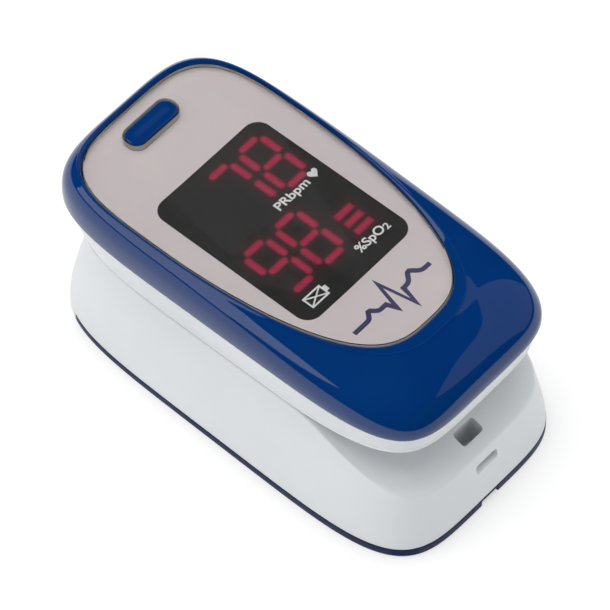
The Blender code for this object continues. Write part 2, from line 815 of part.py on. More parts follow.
def main():
    for thing in list(bpy.data.objects):
        bpy.data.objects.remove(thing)
    paint = {
        "blue_gloss": material("blue_gloss", (0.005, 0.045, 0.24), 0.15),
        "navy_plastic": material("navy_plastic", (0.012, 0.02, 0.07), 0.35),
        "white_plastic": material("white_plastic", (0.72, 0.74, 0.76), 0.4),
        "clear_plastic": material("clear_plastic", (0.85, 0.84, 0.83), 0.05, alpha=0.35),
        "silicone": material("silicone", (0.45, 0.47, 0.5), 0.6),
        "black_plastic": material("black_plastic", (0.03, 0.03, 0.03), 0.35),
        "circuit_board": material("circuit_board", (0.02, 0.16, 0.07), 0.45),
        "spring_steel": material("spring_steel", (0.62, 0.62, 0.6), 0.25, metallic=1.0),
        "battery": material("battery", (0.75, 0.45, 0.12), 0.3, metallic=0.6),
        "flex_film": material("flex_film", (0.65, 0.33, 0.05), 0.35),
    }
    make_lower_half(paint)
    make_battery_door(paint["navy_plastic"])
    make_upper_half(paint)
    hang_upper_half()


main()
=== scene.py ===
"""Looks of the fingertip pulse oximeter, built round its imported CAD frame.

Lengths are in millimetres until a mesh is made. The upper half is drawn square to its
display, in its own frame, and tilted about the hinge axis when its meshes are placed.
"""

import json
import math

import bpy
import numpy as np
from mathutils import Matrix, Vector


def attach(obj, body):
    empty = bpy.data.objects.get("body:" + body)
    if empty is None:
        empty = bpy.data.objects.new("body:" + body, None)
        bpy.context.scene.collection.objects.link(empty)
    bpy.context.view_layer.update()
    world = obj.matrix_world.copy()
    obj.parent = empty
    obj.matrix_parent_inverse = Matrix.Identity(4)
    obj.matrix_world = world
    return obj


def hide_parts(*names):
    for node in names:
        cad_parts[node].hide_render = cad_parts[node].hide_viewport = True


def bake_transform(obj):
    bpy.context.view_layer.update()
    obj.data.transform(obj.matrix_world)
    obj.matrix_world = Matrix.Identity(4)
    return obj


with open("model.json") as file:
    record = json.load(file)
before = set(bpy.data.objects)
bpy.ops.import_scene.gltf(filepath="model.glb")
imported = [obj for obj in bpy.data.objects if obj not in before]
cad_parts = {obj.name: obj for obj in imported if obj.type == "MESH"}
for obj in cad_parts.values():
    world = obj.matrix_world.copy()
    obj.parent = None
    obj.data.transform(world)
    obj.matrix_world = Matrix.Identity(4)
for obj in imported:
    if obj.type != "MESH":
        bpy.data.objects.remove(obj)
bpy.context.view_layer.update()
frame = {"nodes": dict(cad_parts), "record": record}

MM = 0.001
GAP = 0.3

BASE = (16.1, 29.4)
BASE_POWER = 4.9
LENGTH_SHARE = 0.78  # how much of the sides' lean the ends have
COVER = (14.95, 28.7)
COVER_POWER = 5.0
COVER_NOSE = 1.3
WAIST_Z = 15.2
WAIST_INSET = 2.75
COVER_EDGE_Z = 22.3
RIDGE_Z = 27.745
LENS_TOP = 27.6
LENS_BACK = 26.15
SEAT_Z = 26.0
TILT = math.radians(2.7)
HINGE_Y, HINGE_Z = -11.5, 15.8
HINGE_HEIGHT = HINGE_Z + math.sin(TILT) * HINGE_Y
WEDGE_Y = -11.8
LEDGE_SLOPE = 0.34
RIM_SLOPE = 0.215
PIN_RADIUS = 0.8
LUG_RADIUS = 1.6
PIN_BORE = PIN_RADIUS + 0.2
LANYARD_Y = -25.6
LANYARD_SLOT_Z = 7.55
SCREWS = ((10.6, 17.0), (10.6, -5.0))  # the same on the left
SHIELD_Y = 10.4
LENS = (12.8, 17.2, 30.1)
RIDGE = (13.2, 17.75, 32.1)
WINDOW = (9.1, 12.5)
WINDOW_Y = 3.05
BUTTON_Y = 24.0
BUTTON_TOP = (3.85, 1.42)
BUTTON_FLANGE = (4.7, 2.2)
BUTTON_HOLE = (4.1, 1.67)
DOOR_THICKNESS = 1.45
DOOR_THINNING = 0.3
DOOR_FRONT = 24.6
WALL = 1.25
LIP_UNDER = 0.35  # how far the finger channel's edges lie under the parting plane
FLANK = 20.0  # reaches past either side of the object
TUNNEL_HALF = 7.6
TUNNEL_REAR = -6.5
PAD_FRONT = 24.5
ARCH_Z = 20.6
DECK_Z = 12.7
PAD = 0.75
RING = 168
SIDES = ((-1, "left"), (1, "right"))

TO_WORLD = (
    Matrix.Translation(Vector((0, HINGE_Y, HINGE_Z)) * MM)
    @ Matrix.Rotation(-TILT, 4, "X")
    @ Matrix.Translation(Vector((0, -HINGE_Y, -HINGE_HEIGHT)) * MM)
)


# --- Materials ---


def material(name, colour, roughness, **sockets):
    """A material whose shader sockets are set directly. Detail is added to it after."""
    made = bpy.data.materials.new(name)
    made.use_nodes = True
    shader = made.node_tree.nodes["Principled BSDF"]
    shader.inputs["Base Color"].default_value = (*colour, 1.0)
    shader.inputs["Roughness"].default_value = roughness
    for key, value in sockets.items():
        shader.inputs[key.replace("_", " ")].default_value = value
    made.diffuse_color = (*colour, 1.0)
    return made


def noise(tree, scale, stretch=(1, 1, 1)):
    """Noise over the object's own coordinates; scale is in cycles per metre."""
    place = tree.nodes.new("ShaderNodeTexCoord")
    size = tree.nodes.new("ShaderNodeMapping")
    size.inputs["Scale"].default_value = stretch
    made = tree.nodes.new("ShaderNodeTexNoise")
    made.inputs["Scale"].default_value = scale
    made.inputs["Detail"].default_value = 3.0
    tree.links.new(place.outputs["Object"], size.inputs["Vector"])
    tree.links.new(size.outputs["Vector"], made.inputs["Vector"])
    return made.outputs["Fac"]


def remap(tree, source, low, high):
    """Stretches the middle of the noise's range over low to high."""
    made = tree.nodes.new("ShaderNodeMapRange")
    for key, value in (("From Min", 0.3), ("From Max", 0.7), ("To Min", low), ("To Max", high)):
        made.inputs[key].default_value = value
    tree.links.new(source, made.inputs["Value"])
    return made.outputs["Result"]


def vary_roughness(made, scale, low, high, **options):
    tree = made.node_tree
    shader = tree.nodes["Principled BSDF"]
    tree.links.new(remap(tree, noise(tree, scale, **options), low, high), shader.inputs["Roughness"])


def vary_colour(made, first, second, scale, **options):
    tree = made.node_tree
    shader = tree.nodes["Principled BSDF"]
    ramp = tree.nodes.new("ShaderNodeValToRGB")
    ramp.color_ramp.elements[0].position = 0.35
    ramp.color_ramp.elements[1].position = 0.65
    ramp.color_ramp.elements[0].color = (*first, 1)
    ramp.color_ramp.elements[1].color = (*second, 1)
    tree.links.new(noise(tree, scale, **options), ramp.inputs["Fac"])
    tree.links.new(ramp.outputs["Color"], shader.inputs["Base Color"])


def add_bump(made, scale, distance, strength=1.0, **options):
    tree = made.node_tree
    shader = tree.nodes["Principled BSDF"]
    bump = tree.nodes.new("ShaderNodeBump")
    bump.inputs["Strength"].default_value = strength
    bump.inputs["Distance"].default_value = distance
    tree.links.new(noise(tree, scale, **options), bump.inputs["Height"])
    tree.links.new(bump.outputs["Normal"], shader.inputs["Normal"])


def make_white():
    made = material(
        "white_satin",
        (0.705, 0.73, 0.75),
        0.4,
        Specular_IOR_Level=0.4,
        Subsurface_Weight=0.3,
        Subsurface_Radius=(0.0016, 0.0014, 0.0013),
        Subsurface_Scale=1.0,
    )
    vary_colour(made, (0.69, 0.715, 0.735), (0.72, 0.745, 0.765), 60)
    vary_roughness(made, 900, 0.36, 0.46)
    add_bump(made, 5200, 0.00001, 0.5)
    return made


def make_blue():
    """Deep blue under a clear coat: the colour itself has no gloss of its own."""
    made = material(
        "blue_lacquer",
        (0.001, 0.028, 0.138),
        0.3,
        Specular_IOR_Level=0.0,
        Coat_Weight=1.0,
        Coat_Roughness=0.03,
    )
    vary_colour(made, (0.0008, 0.0265, 0.132), (0.0012, 0.0295, 0.144), 90)
    vary_roughness(made, 1500, 0.26, 0.34)
    add_bump(made, 900, 0.00002, 0.12)
    return made


def make_navy():
    made = material("navy_plastic", (0.004, 0.015, 0.062), 0.45, Specular_IOR_Level=0.06)
    vary_colour(made, (0.0035, 0.0135, 0.057), (0.0045, 0.0165, 0.067), 120)
    vary_roughness(made, 800, 0.4, 0.5)
    add_bump(made, 4200, 0.00001, 0.4)
    return made


def make_acrylic():
    made = material("clear_acrylic", (0.97, 0.975, 0.97), 0.01, Transmission_Weight=1.0, IOR=1.49)
    add_bump(made, 160, 0.00002, 0.03)
    return made


def make_frosted():
    made = material("frosted_edge", (0.65, 0.64, 0.6), 0.6)
    vary_colour(made, (0.6, 0.59, 0.55), (0.7, 0.69, 0.65), 500)
    vary_roughness(made, 2500, 0.5, 0.75)
    add_bump(made, 5200, 0.00001, 0.5)
    return made


def make_silver_print():
    made = material("silver_print", (0.728, 0.65, 0.66), 0.42, Specular_IOR_Level=0.0)
    vary_colour(made, (0.723, 0.645, 0.655), (0.733, 0.655, 0.665), 45)
    vary_roughness(made, 2400, 0.38, 0.46)
    add_bump(made, 7000, 0.000005, 0.3)
    return made


def make_window():
    """Dark tinted print; its point attribute glow says where the read-out shines through."""
    made = material(
        "display_tint",
        (0.0135, 0.013, 0.013),
        0.35,
        Specular_IOR_Level=0.0,
        Emission_Strength=1.0,
    )
    tree = made.node_tree
    glow = tree.nodes.new("ShaderNodeAttribute")
    glow.attribute_name = "glow"
    ramp = tree.nodes.new("ShaderNodeValToRGB")
    ramp.color_ramp.elements[0].color = (0.0, 0.0, 0.0, 1)
    ramp.color_ramp.elements[1].color = (0.32, 0.006, 0.045, 1)
    middle = ramp.color_ramp.elements.new(0.4)
    middle.color = (0.03, 0.0, 0.002, 1)
    tree.links.new(glow.outputs["Fac"], ramp.inputs["Fac"])
    tree.links.new(ramp.outputs["Color"], tree.nodes["Principled BSDF"].inputs["Emission Color"])
    vary_roughness(made, 3000, 0.3, 0.42)
    return made


def make_silicone():
    made = material(
        "silicone",
        (0.33, 0.345, 0.37),
        0.6,
        Subsurface_Weight=0.1,
        Subsurface_Radius=(0.001, 0.001, 0.001),
    )
    vary_colour(made, (0.32, 0.335, 0.36), (0.35, 0.365, 0.39), 300)
    vary_roughness(made, 1600, 0.5, 0.68)
    add_bump(made, 6500, 0.00002, 0.6)
    return made


def make_steel():
    made = material("spring_steel", (0.62, 0.61, 0.58), 0.22, Metallic=1.0)
    vary_roughness(made, 1800, 0.15, 0.32, stretch=(1, 8, 8))
    add_bump(made, 4000, 0.000005, 0.3, stretch=(1, 8, 8))
    return made


def make_board():
    made = material("solder_mask", (0.012, 0.13, 0.045), 0.35)
    vary_colour(made, (0.01, 0.1, 0.035), (0.02, 0.17, 0.06), 900, stretch=(1, 0.15, 1))
    vary_roughness(made, 1200, 0.28, 0.42)
    return made


def make_black():
    made = material("black_plastic", (0.02, 0.02, 0.022), 0.4)
    vary_colour(made, (0.016, 0.016, 0.018), (0.026, 0.026, 0.029), 700)
    vary_roughness(made, 2600, 0.32, 0.5)
    add_bump(made, 5000, 0.00001, 0.4)
    return made


def make_film():
    made = material("polyimide_film", (0.52, 0.2, 0.025), 0.25)
    vary_colour(made, (0.45, 0.16, 0.02), (0.6, 0.25, 0.035), 2600, stretch=(1, 0.02, 0.02))
    vary_roughness(made, 900, 0.2, 0.32)
    return made


def make_cell_sleeve():
    made = material("cell_sleeve", (0.55, 0.3, 0.06), 0.3, Metallic=0.7)
    vary_colour(made, (0.5, 0.26, 0.05), (0.6, 0.34, 0.08), 500, stretch=(1, 0.1, 1))
    vary_roughness(made, 1500, 0.22, 0.38)
    return made


def make_ink(name, colour):
    made = material(name, colour, 0.5)
    darker = tuple(0.92 * c for c in colour)
    lighter = tuple(min(1, 1.05 * c) for c in colour)
    vary_colour(made, darker, lighter, 2500)
    return made


# --- Outlines ---


def oblong(half, power, nose=0.0):
    """How far out a point lies from a rounded oblong, 1 being on its line."""

    def reach(x, y):
        length = half[1] + np.where(y > 0, nose, 0.0)
        return np.abs(x / half[0]) ** power + np.abs(y / length) ** power

    return reach


def shield(sizes, grow=0.0):
    """The face plate's outline: square-shouldered in front, tapering to a round rear."""
    half, front, rear = (size + grow for size in sizes)

    def reach(x, y):
        ahead = np.abs(x / half) ** 4 + np.abs((y - SHIELD_Y) / front) ** 4
        behind = np.abs(x / half) ** 3 + np.abs((y - SHIELD_Y) / rear) ** 2
        return np.where(y > SHIELD_Y, ahead, behind)

    return reach


def directions():
    """Unit vectors round the object, gathered towards its corners."""
    angles = 2 * np.pi * np.arange(RING) / RING
    across = np.sign(np.cos(angles)) * np.abs(np.cos(angles)) ** 0.62 * BASE[0]
    along = np.sign(np.sin(angles)) * np.abs(np.sin(angles)) ** 0.62 * BASE[1]
    ways = np.stack([across, along], 1)
    return ways / np.linalg.norm(ways, axis=1)[:, None]


def radii(reach, ways):
    """Distance along each direction at which it crosses the outline."""
    near, far = np.zeros(len(ways)), np.full(len(ways), 80.0)
    for _ in range(44):
        middle = (near + far) / 2
        inside = reach(ways[:, 0] * middle, ways[:, 1] * middle) < 1
        near, far = np.where(inside, middle, near), np.where(inside, far, middle)
    return near


def ring(reach, z):
    ways = directions()
    return place(ways, radii(reach, ways), z)


def place(ways, radius, z):
    """Points at these distances along the directions, at one height or one each."""
    return np.column_stack([ways * radius[:, None], np.broadcast_to(z, len(ways))])


def rounded_rectangle(half_x, half_y, radius, z, centre=(0.0, 0.0), steps=8):
    points = []
    for corner in range(4):
        sign_x = (1, -1, -1, 1)[corner]
        sign_y = (1, 1, -1, -1)[corner]
        for step in range(steps + 1):
            angle = math.pi / 2 * (corner + step / steps)
            x = centre[0] + sign_x * (half_x - radius) + radius * math.cos(angle)
            y = centre[1] + sign_y * (half_y - radius) + radius * math.sin(angle)
            points.append((x, y, z))
    return np.array(points)


def button_outline(half_x, half_y, z):
    """The button's rounded oblong, its ends nearly half circles, at any inset or clearance."""
    return rounded_rectangle(half_x, half_y, max(half_y - 0.14, 0.05), z, (0, BUTTON_Y))


def smooth_curve(xs, ys, spread):
    """The line through these points with its corners rounded over spread, as a function."""
    grid = np.linspace(xs[0], xs[-1], 600)
    values = np.interp(grid, xs, ys)
    size = max(1, int(spread / (grid[1] - grid[0]) / 2))
    for _ in range(3):
        left = 2 * values[0] - values[1 : size + 1][::-1]
        right = 2 * values[-1] - values[-size - 1 : -1][::-1]
        padded = np.concatenate([left, values, right])
        values = np.convolve(padded, np.ones(2 * size + 1) / (2 * size + 1), "valid")
    return lambda x: np.interp(x, grid, values)


# --- Meshes ---


def added(name, data):
    """A new object in the scene that shows this data."""
    thing = bpy.data.objects.new(name, data)
    bpy.context.scene.collection.objects.link(thing)
    return thing


def mesh_from(name, points, faces):
    mesh = bpy.data.meshes.new(name)
    mesh.from_pydata(points, [], faces)
    return mesh


def mesh_seen(thing):
    """The object's mesh as its modifiers leave it, or the mesh of its lettering."""
    graph = bpy.context.evaluated_depsgraph_get()
    return bpy.data.meshes.new_from_object(thing.evaluated_get(graph))


def finish_mesh(mesh, angle):
    mesh.shade_smooth()
    mesh.set_sharp_from_angle(angle=math.radians(angle))


def solid(name, points, faces, paint=None, angle=38):
    mesh = mesh_from(name, [tuple(p) for p in np.asarray(points, float) * MM], faces)
    if paint:
        mesh.materials.append(paint)
    finish_mesh(mesh, angle)
    return added(name, mesh)


def loft(name, rings, paint=None, closed=False, angle=38):
    """A solid through rings drawn anticlockwise, lowest first; closed joins last to first."""
    count = len(rings[0])
    points = np.concatenate([np.asarray(one, float) for one in rings])
    faces = []
    for level in range(len(rings) if closed else len(rings) - 1):
        low, high = level * count, (level + 1) % len(rings) * count
        faces += [(low + i, low + (i + 1) % count, high + (i + 1) % count, high + i) for i in range(count)]
    if not closed:
        faces.append(tuple(range(count))[::-1])
        faces.append(tuple(range(len(points) - count, len(points))))
    return solid(name, points, faces, paint, angle)


def box(name, low, high, paint=None):
    (x0, y0, z0), (x1, y1, z1) = low, high
    corners = [(x0, y0), (x1, y0), (x1, y1), (x0, y1)]
    return loft(name, [[(x, y, z) for x, y in corners] for z in (z0, z1)], paint)


def prism(name, profile, x0, x1, paint=None):
    return loft(name, [[(x, y, z) for y, z in profile] for x in (x0, x1)], paint)


def along_y(name, outline, y0, y1, paint=None):
    return loft(name, [[(x, y, z) for x, z in reversed(outline)] for y in (y0, y1)], paint)


def rod(name, stations, paint=None, sides=40, axis="z", centre=(0.0, 0.0)):
    rings = []
    for reach, radius in stations:
        circle = []
        for i in range(sides):
            angle = 2 * math.pi * i / sides
            a = centre[0] + radius * math.cos(angle)
            b = centre[1] + radius * math.sin(angle)
            circle.append({"z": (a, b, reach), "x": (reach, a, b), "y": (b, reach, a)}[axis])
        rings.append(circle)
    return loft(name, rings, paint)


def tube(name, path, radius, paint, sides=14):
    """A round wire through points that keep near a plane across X."""
    path = [Vector(p) for p in path]
    turns = [2 * math.pi * k / sides for k in range(sides)]
    rings = []
    for i, point in enumerate(path):
        along = (path[min(i + 1, len(path) - 1)] - path[max(i - 1, 0)]).normalized()
        side = along.cross(Vector((1, 0, 0))).normalized()
        over = along.cross(side)
        rings.append([point + radius * (side * math.cos(a) + over * math.sin(a)) for a in turns])
    return loft(name, rings, paint)


def merged(tools):
    """The tools as one mesh object."""
    points, faces, start = [], [], 0
    for tool in tools:
        points += [tuple(v.co) for v in tool.data.vertices]
        faces += [tuple(start + v for v in face.vertices) for face in tool.data.polygons]
        start += len(tool.data.vertices)
        bpy.data.objects.remove(tool)
    return added("tools", mesh_from("tools", points, faces))


def boolean(target, tools, operation, angle=38):
    tool = merged(tools)
    change = target.modifiers.new("change", "BOOLEAN")
    change.operation = operation
    change.solver = "EXACT"
    change.use_self = len(tools) > 1
    change.object = tool
    mesh = mesh_seen(target)
    target.modifiers.clear()
    old, target.data = target.data, mesh
    name = old.name
    bpy.data.meshes.remove(old)
    mesh.name = name
    bpy.data.objects.remove(tool)
    finish_mesh(mesh, angle)
    return target


def cut(target, *tools):
    return boolean(target, tools, "DIFFERENCE")


def join(target, *tools):
    return boolean(target, tools, "UNION")


def finished(thing, body, slot, *nodes):
    """Puts an upper piece into the world, rides it on its body and hides the CAD nodes it stands for."""
    if body in ("upper", "button"):
        thing.data.transform(TO_WORLD)
    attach(thing, body)
    if nodes:
        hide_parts(*nodes)
    return thing


def finished_print(thing):
    """A thin piece printed behind the clear plate, which stands for no CAD node of its own."""
    finished(thing, "upper", "clear_plastic")


# --- Lower half ---


def lower_plane(y):
    return WAIST_Z - GAP / 2 - math.tan(TILT) * y


def ledge_z(y):
    return lower_plane(WEDGE_Y) + LEDGE_SLOPE * (y - WEDGE_Y)


def door_top(y, extra=0.0):
    share = (y + BASE[1]) / (DOOR_FRONT + BASE[1])
    return DOOR_THICKNESS - DOOR_THINNING * share + extra


def base_ring(inset, z):
    """The base's outline, drawn in by an inset."""
    return ring(oblong((BASE[0] - inset, BASE[1] - inset), BASE_POWER), z)


WALL_Z = (-3.0, 0.0, 1.4, 4.0, 8.0, 10.3, 12.6, 14.2, WAIST_Z - GAP / 2, 19.0)
wall_inset = smooth_curve(WALL_Z, (0.0, 0.0, 0.0, 0.25, 1.05, 1.55, 2.15, 2.55, WAIST_INSET, 3.6), 1.6)
wall_tilt = smooth_curve(WALL_Z, (0, 0, 0, 0, 0.1, 0.35, 0.7, 0.9, 1.0, 1.0), 2.0)


def lower_radius(ways, z, inset=0.0):
    """Distance to the lower half's outside at height z along each direction."""
    z = np.broadcast_to(np.asarray(z, float), len(ways))
    level, radius = z, np.zeros(len(ways))
    for _ in range(6):
        narrower = wall_inset(level)
        half_x = BASE[0] - narrower - inset
        half_y = BASE[1] - LENGTH_SHARE * narrower - inset
        sums = np.abs(ways[:, 0] / half_x) ** BASE_POWER + np.abs(ways[:, 1] / half_y) ** BASE_POWER
        radius = sums ** (-1 / BASE_POWER)
        level = z + math.tan(TILT) * wall_tilt(level) * ways[:, 1] * radius
    return radius


def lower_top(y):
    """The lower half's top: the parting plane, the ledge behind, and the dip in front."""
    flat, slope = lower_plane(y), ledge_z(y)
    softness = 0.35
    top = -softness * np.logaddexp(-flat / softness, -slope / softness)
    dip = np.clip((y - 19.5) / 8.0, 0, 1) ** 1.6
    return top - 1.5 * dip


def lower_rings(fillet=0.45):
    """Rings up the wall, round its top edge and in over the top."""
    ways = directions()
    edge = np.full(len(ways), 13.0)
    for _ in range(12):
        radius = lower_radius(ways, edge) - fillet
        edge = lower_top(ways[:, 1] * radius) - fillet
    rings = []
    for share in np.linspace(0, 1, 22):
        rings.append(place(ways, lower_radius(ways, edge * share), edge * share))
    outer = lower_radius(ways, edge)
    for step in range(1, 7):
        angle = math.pi / 2 * step / 6
        radius = outer - fillet * (1 - math.cos(angle))
        rings.append(place(ways, radius, edge + fillet * math.sin(angle)))
    for share in (0.97, 0.93, 0.87, 0.8, 0.7, 0.6, 0.5, 0.4, 0.3, 0.2, 0.1, 0.03):
        radius = (outer - fillet) * share
        rings.append(place(ways, radius, lower_top(ways[:, 1] * radius)))
    return rings


def dish(y, lift=0.0):
    """Heights of the finger channel's floor, in the middle and at its edges."""
    middle = DECK_Z + lift
    return middle, max(lower_plane(y) - LIP_UNDER - PAD - GAP / 2 + lift, middle)


def channel_space(height=12.0, sections=40, steps=24):
    """Cutter for the finger's channel, whose floor is a shallow curve."""
    rings = []
    for y in np.linspace(TUNNEL_REAR, 40.0, sections):
        middle, edge = dish(y)
        floor = []
        for share in np.linspace(-1, 1, steps + 1):
            floor.append((TUNNEL_HALF * share, middle + (edge - middle) * share * share))
        rings.append([(x, y, z + height) for x, z in floor] + [(x, y, z) for x, z in floor[::-1]])
    return loft("channel", rings)


def hollow_bay(case):
    """Opens the battery bay, whose roof is flat over the cells and slopes under the ledge."""
    ways = directions()
    levels = (-3.0, 1.4, 4, 7, 9, 11, 12.2)
    bay = loft("bay", [place(ways, lower_radius(ways, z, WALL), z) for z in levels])
    rear, roof = -36.0, DECK_Z - 0.7
    meet_y = WEDGE_Y + (roof - ledge_z(WEDGE_Y) + 1.0) / LEDGE_SLOPE
    over = [(rear, ledge_z(rear) - 1.0), (meet_y, roof), (40, roof), (40, 40), (rear, 40)]
    cut(bay, prism("over", over, -25, 25))
    cut(case, bay)


def fit_door(case):
    """Clears the space that the door slides in, and puts the lip in front of it."""
    clear_y, clear_z = DOOR_FRONT + 0.2, 0.12
    below = [(-40, -4), (clear_y, -4), (clear_y, door_top(clear_y, clear_z)), (-40, door_top(-40, clear_z))]
    cut(case, prism("door_space", below, -FLANK, FLANK))
    lip = loft("lip", [base_ring(inset, z) for inset, z in ((0.6, 0.02), (0.35, 1.9))])
    cut(lip, box("lip_rear", (-FLANK, -40, -2), (FLANK, clear_y, 5)))
    join(case, lip)


def make_lower_case(paint):
    case = loft("lower_shell", lower_rings(), paint["white"])
    hollow_bay(case)
    fit_door(case)
    rear, front, foot = -28.0, -24.3, 5.2
    anchor = [(rear, foot), (front, foot), (front, ledge_z(front) - 0.6), (rear, ledge_z(rear) - 0.6)]
    join(case, prism("anchor", anchor, -2.45, 2.45))
    pocket = [rounded_rectangle(1.75, 1.0, 0.45, z, (0, LANYARD_Y)) for z in (6.0, 14.0)]
    slot = [(x, z + LANYARD_SLOT_Z) for x, z, _ in rounded_rectangle(1.85, 0.85, 0.5, 0)]
    cut(
        case,
        channel_space(),
        box("hinge_recess", (-12.0, -14.2, 13.4), (12.0, -8.8, 20.0)),
        loft("lanyard_hole", pocket),
        along_y("lanyard_slot", slot, -31, -26.8),
        box("ribbon_slot", (-2.6, -10.9, 11.0), (2.6, -8.9, 13.5)),
        box("tongue_slot", (-6.3, DOOR_FRONT - 1, 0.35), (6.3, DOOR_FRONT + 1.6, 1.35)),
    )
    finished(case, "lower", "white_plastic", "lower_case")


def make_hinge_ear(side, word, paint):
    """One of the two ears of the lower half that carry the hinge pin."""
    inner, outer = sorted((side * 8.2, side * 9.9))
    bevel = 0.2
    stations = [(inner, LUG_RADIUS - bevel), (inner + bevel, LUG_RADIUS)]
    stations += [(outer - bevel, LUG_RADIUS), (outer, LUG_RADIUS - bevel)]
    ear = rod(f"hinge_ear_{word}", stations, paint["white"], axis="x", centre=(HINGE_Y, HINGE_Z))
    low = (inner, HINGE_Y - LUG_RADIUS, 12.8)
    join(ear, box("foot", low, (outer, HINGE_Y + LUG_RADIUS, HINGE_Z - 0.05)))
    cut(ear, rod("pin_bore", [(-12, PIN_BORE), (12, PIN_BORE)], axis="x", centre=(HINGE_Y, HINGE_Z)))
    finished(ear, "lower", "white_plastic")


def make_door(paint):
    """The sliding battery door: a plate that thins forward, with a tongue, grooves and an arrow."""
    levels = ((0.22, 0.0), (0.08, 0.06), (0.0, 0.18), (0.0, 2.0))
    door = loft("battery_lid", [base_ring(inset, z) for inset, z in levels], paint["navy"])
    above = [(-40, door_top(-40)), (40, door_top(40)), (40, 6), (-40, 6)]
    front_cut = box("front_cut", (-FLANK, DOOR_FRONT, -2), (FLANK, 40, 5))
    cut(door, prism("above", above, -FLANK, FLANK), front_cut)
    join(door, box("tongue", (-6, DOOR_FRONT - 1, 0.45), (6, DOOR_FRONT + 1.3, 0.74)))
    tools = [loft("notch", [rounded_rectangle(1.5, 0.9, 0.5, z, (0, -BASE[1])) for z in (-1, 1.1)])]
    half, depth = 0.4, 0.35
    for i in range(5):
        y = -22.0 + 1.6 * i
        groove = [(y - half, -1), (y + half, -1), (y + half, 0.001), (y, depth), (y - half, 0.001)]
        tools.append(prism("groove", groove, -6.5, 6.5))
    arrow = [(0, -13.6), (1.6, -11.6), (-1.6, -11.6)]
    tools.append(loft("arrow", [[(x, y, z) for x, y in arrow] for z in (-1, 0.18)]))
    cut(door, *tools)
    finished(door, "door", "navy_plastic", "battery_door")


# --- Upper half, drawn square to its display ---

CASE_Z = (WAIST_Z + GAP / 2, 17.2, 19.6, COVER_EDGE_Z - GAP, 24.0)
case_x = smooth_curve(CASE_Z, (13.4, 13.8, 14.25, 14.6, 14.85), 1.5)
case_y = smooth_curve(CASE_Z, (27.0, 27.45, 27.95, 28.3, 28.5), 1.5)
case_nose = smooth_curve(CASE_Z, (0.8, 1.1, 1.25, COVER_NOSE, COVER_NOSE), 1.5)


def upper_radius(ways, z, inset=0.0):
    z = np.broadcast_to(np.asarray(z, float), len(ways))
    half_x = case_x(z) - inset
    half_y = case_y(z) - inset + np.where(ways[:, 1] > 0, case_nose(z), 0.0)
    sums = np.abs(ways[:, 0] / half_x) ** COVER_POWER + np.abs(ways[:, 1] / half_y) ** COVER_POWER
    return sums ** (-1 / COVER_POWER)


def upper_bottom(y):
    """The upper half's underside: flat, then sweeping up behind the hinge."""
    floor = WAIST_Z + GAP / 2
    softness = 0.3
    swept = floor + RIM_SLOPE * (WEDGE_Y - y)
    return softness * np.logaddexp(floor / softness, swept / softness)


def upper_rings(fillet=0.35):
    ways = directions()
    edge = np.full(len(ways), 16.0)
    for _ in range(12):
        radius = upper_radius(ways, edge) - fillet
        edge = upper_bottom(ways[:, 1] * radius) + fillet
    rings = []
    outer = upper_radius(ways, edge)
    for share in (0.03, 0.2, 0.4, 0.6, 0.75, 0.85, 0.93, 0.97):
        radius = (outer - fillet) * share
        rings.append(place(ways, radius, upper_bottom(ways[:, 1] * radius)))
    for step in range(0, 6):
        angle = math.pi / 2 * (1 - step / 6)
        rings.append(place(ways, outer - fillet * (1 - math.cos(angle)), edge - fillet * math.sin(angle)))
    top = COVER_EDGE_Z - 0.12
    lift = [(0.0, 0.0), (0.35, 0.0), (0.5, 0.09), (0.65, 0.0)]
    for rise, groove in lift:
        rings.append(place(ways, upper_radius(ways, edge + rise) - groove, edge + rise))
    start = edge + lift[-1][0]
    for share in np.linspace(0.12, 1, 10):
        z = start + (top - start) * share
        rings.append(place(ways, upper_radius(ways, z), z))
    collar = oblong((13.3, 26.95), COVER_POWER, COVER_NOSE)
    rings += [ring(collar, top + 0.001), ring(collar, COVER_EDGE_Z + 0.8)]
    return rings


def arch_line(half, foot, top, steps=40):
    points = []
    for step in range(steps + 1):
        angle = math.pi * step / steps
        x = half * math.copysign(abs(math.cos(angle)) ** 0.7, math.cos(angle))
        points.append((x, foot + (top - foot) * math.sin(angle) ** 0.7))
    return points


def hollow_upper(case):
    """Hollows the upper case, leaving its floor, its walls and the arch over the finger."""
    ways = directions()
    inside = [place(ways, upper_radius(ways, z, WALL), z) for z in (WAIST_Z + GAP / 2, 17.2, 19.6)]
    inner = oblong((12.5, 26.2), COVER_POWER, COVER_NOSE)
    inside += [ring(inner, COVER_EDGE_Z - WALL), ring(inner, COVER_EDGE_Z + 3)]
    hollow = loft("hollow", inside)
    floor = WAIST_Z + GAP / 2 + WALL
    rear, front = -36.0, 36.0
    rise = RIM_SLOPE * (WEDGE_Y - rear)
    under = [(rear, -5), (front, -5), (front, floor), (WEDGE_Y, floor), (rear, floor + rise)]
    block = along_y("arch_block", arch_line(8.6, WAIST_Z + 0.3, ARCH_Z + 0.7), TUNNEL_REAR - 1.4, 40)
    cut(hollow, prism("floor", under, -FLANK, FLANK))
    cut(hollow, block)
    cut(case, hollow)


def add_hinge_lugs(case):
    """The two lugs that turn on the pin, outside the lower half's ears."""
    centre = (HINGE_Y, HINGE_HEIGHT)
    lugs = []
    for side in (-1, 1):
        inner, outer = sorted((side * 10.3, side * 11.9))
        lugs.append(rod("lug", [(inner, LUG_RADIUS), (outer, LUG_RADIUS)], axis="x", centre=centre))
    join(case, *lugs)


